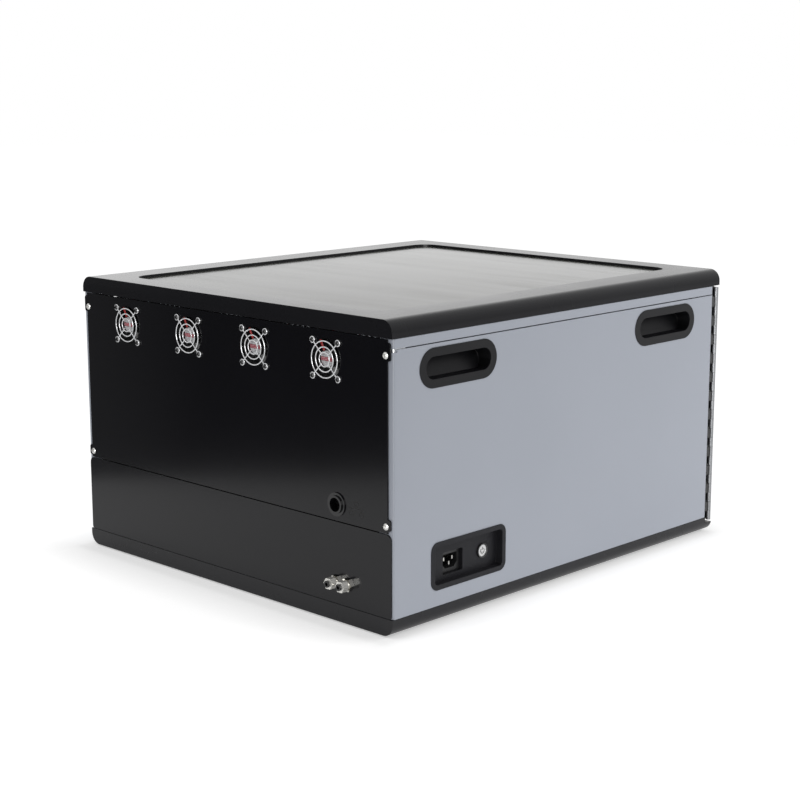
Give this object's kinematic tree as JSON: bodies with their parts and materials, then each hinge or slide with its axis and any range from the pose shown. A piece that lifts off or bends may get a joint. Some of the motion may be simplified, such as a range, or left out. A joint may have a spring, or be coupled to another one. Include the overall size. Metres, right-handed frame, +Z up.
{
  "type": "filament dryer box",
  "caption": "Heated filament drying cabinet with a recessed top, extractor fans behind wire guards, recessed handles, a power recess and a piano-hinged glazed door over spool rollers.",
  "frame": {"origin": "at floor level under the middle of the overall footprint, ports included", "axes": "+X to the right seen from the door, +Y towards the back with the fans and ports, +Z up"},
  "size_m": [0.5496, 0.6252, 0.352],
  "materials": {
    "black_shell": "satin black powder coat",
    "grey_sheet": "fine matt blue-grey powder coat",
    "black_sheet": "semi-gloss black powder coat",
    "inner_sheet": "mill finish",
    "top_plate": "satin black, wiped",
    "rubber": "matt",
    "display": "dark glass",
    "screw_steel": "plain steel",
    "guard_wire": "chrome plated",
    "red_lead": "red insulation",
    "circuit_board": "green solder mask",
    "black_plastic": "moulded, fine texture",
    "gloss_black": "glossy",
    "nickel": "nickel plated",
    "tube_plastic": "translucent white",
    "button_metal": "turned",
    "hinge_steel": "satin",
    "black_screw": "black oxide",
    "smoked_glass": "smoked, polished",
    "roller_steel": "drawn tube"
  },
  "bodies": {
    "cabinet": {"base_tray": "black_shell", "rubber_feet": "rubber", "base_plate": "inner_sheet", "top_cover": "black_shell", "top_plate": "top_plate", "side_panel_left": "grey_sheet", "side_panel_right": "grey_sheet", "top_rails": "grey_sheet", "corner_posts": "inner_sheet", "chamber_floor": "inner_sheet", "chamber_walls": "inner_sheet", "chamber_back": "inner_sheet", "chamber_ceiling": "inner_sheet", "front_frame": "black_sheet", "display_module": "display", "rear_panel_upper": "black_sheet", "rear_panel_lower": "black_sheet", "rear_screws": "screw_steel", "fan_frames": "black_plastic", "fan_guards": "guard_wire", "guard_screws": "black_screw", "guard_spacers": "screw_steel", "fan_leads": "red_lead", "fan_board": "circuit_board", "cable_bushing": "gloss_black", "tube_fittings": "nickel", "fitting_nuts": "nickel", "guide_tubes": "tube_plastic", "filament_inlets": "black_plastic", "handle_cup_1": "black_plastic", "handle_cup_2": "black_plastic", "handle_cup_3": "black_plastic", "handle_cup_4": "black_plastic", "power_recess": "black_plastic", "mains_socket": "black_plastic", "mains_pins": "nickel", "button_bezel": "gloss_black", "hinge_leaf_frame": "hinge_steel", "hinge_pin": "hinge_steel", "roller_brackets": "black_plastic", "heater_unit": "inner_sheet", "power_supply": "inner_sheet", "control_board": "circuit_board"},
    "door": {"door_frame": "black_sheet", "door_window": "smoked_glass", "door_seal": "rubber", "door_magnets": "nickel", "hinge_leaf_door": "hinge_steel"},
    "button": {"power_button": "button_metal"},
    "collet_a": {"collet_1": "gloss_black"},
    "collet_b": {"collet_2": "gloss_black"},
    "heater_fan": {"heater_impeller": "black_plastic"},
    "fan_1": {"fan_impeller_1": "black_plastic"},
    "spool_roller_1": {"roller_1": "roller_steel"},
    "fan_2": {"fan_impeller_2": "black_plastic"},
    "spool_roller_2": {"roller_2": "roller_steel"},
    "fan_3": {"fan_impeller_3": "black_plastic"},
    "spool_roller_3": {"roller_3": "roller_steel"},
    "fan_4": {"fan_impeller_4": "black_plastic"},
    "spool_roller_4": {"roller_4": "roller_steel"}
  },
  "joints": [
    {"name": "door_hinge", "type": "hinge", "parent": "cabinet", "child": "door", "pos_m": [-0.271, -0.30965, 0.173], "axis": [0, 0, -1], "range_deg": [0, 180]},
    {"name": "fan_spin_1", "type": "hinge", "parent": "cabinet", "child": "fan_1", "pos_m": [0.18315, 0.29535, 0.2986], "axis": [0, 1, 0], "continuous": true},
    {"name": "fan_spin_2", "type": "hinge", "parent": "cabinet", "child": "fan_2", "pos_m": [0.06465, 0.29535, 0.2986], "axis": [0, 1, 0], "continuous": true},
    {"name": "fan_spin_3", "type": "hinge", "parent": "cabinet", "child": "fan_3", "pos_m": [-0.05385, 0.29535, 0.2986], "axis": [0, 1, 0], "continuous": true},
    {"name": "fan_spin_4", "type": "hinge", "parent": "cabinet", "child": "fan_4", "pos_m": [-0.17235, 0.29535, 0.2986], "axis": [0, 1, 0], "continuous": true},
    {"name": "heater_fan_spin", "type": "hinge", "parent": "cabinet", "child": "heater_fan", "pos_m": [0, 0.19435, 0.196], "axis": [0, 0, 1], "continuous": true},
    {"name": "roller_turn_1", "type": "hinge", "parent": "cabinet", "child": "spool_roller_1", "pos_m": [0, -0.22165, 0.111], "axis": [1, 0, 0], "continuous": true},
    {"name": "roller_turn_2", "type": "hinge", "parent": "cabinet", "child": "spool_roller_2", "pos_m": [0, -0.12165, 0.111], "axis": [1, 0, 0], "continuous": true},
    {"name": "roller_turn_3", "type": "hinge", "parent": "cabinet", "child": "spool_roller_3", "pos_m": [0, -0.00665, 0.111], "axis": [1, 0, 0], "continuous": true},
    {"name": "roller_turn_4", "type": "hinge", "parent": "cabinet", "child": "spool_roller_4", "pos_m": [0, 0.09335, 0.111], "axis": [1, 0, 0], "continuous": true},
    {"name": "button_press", "type": "slide", "parent": "cabinet", "child": "button", "axis": [1, 0, 0], "range_m": [0, 0.0015], "stiffness_N_per_m": 800},
    {"name": "collet_release_a", "type": "slide", "parent": "cabinet", "child": "collet_a", "axis": [0, -1, 0], "range_m": [0, 0.001], "stiffness_N_per_m": 800},
    {"name": "collet_release_b", "type": "slide", "parent": "cabinet", "child": "collet_b", "axis": [0, -1, 0], "range_m": [0, 0.001], "stiffness_N_per_m": 800}
  ]
}
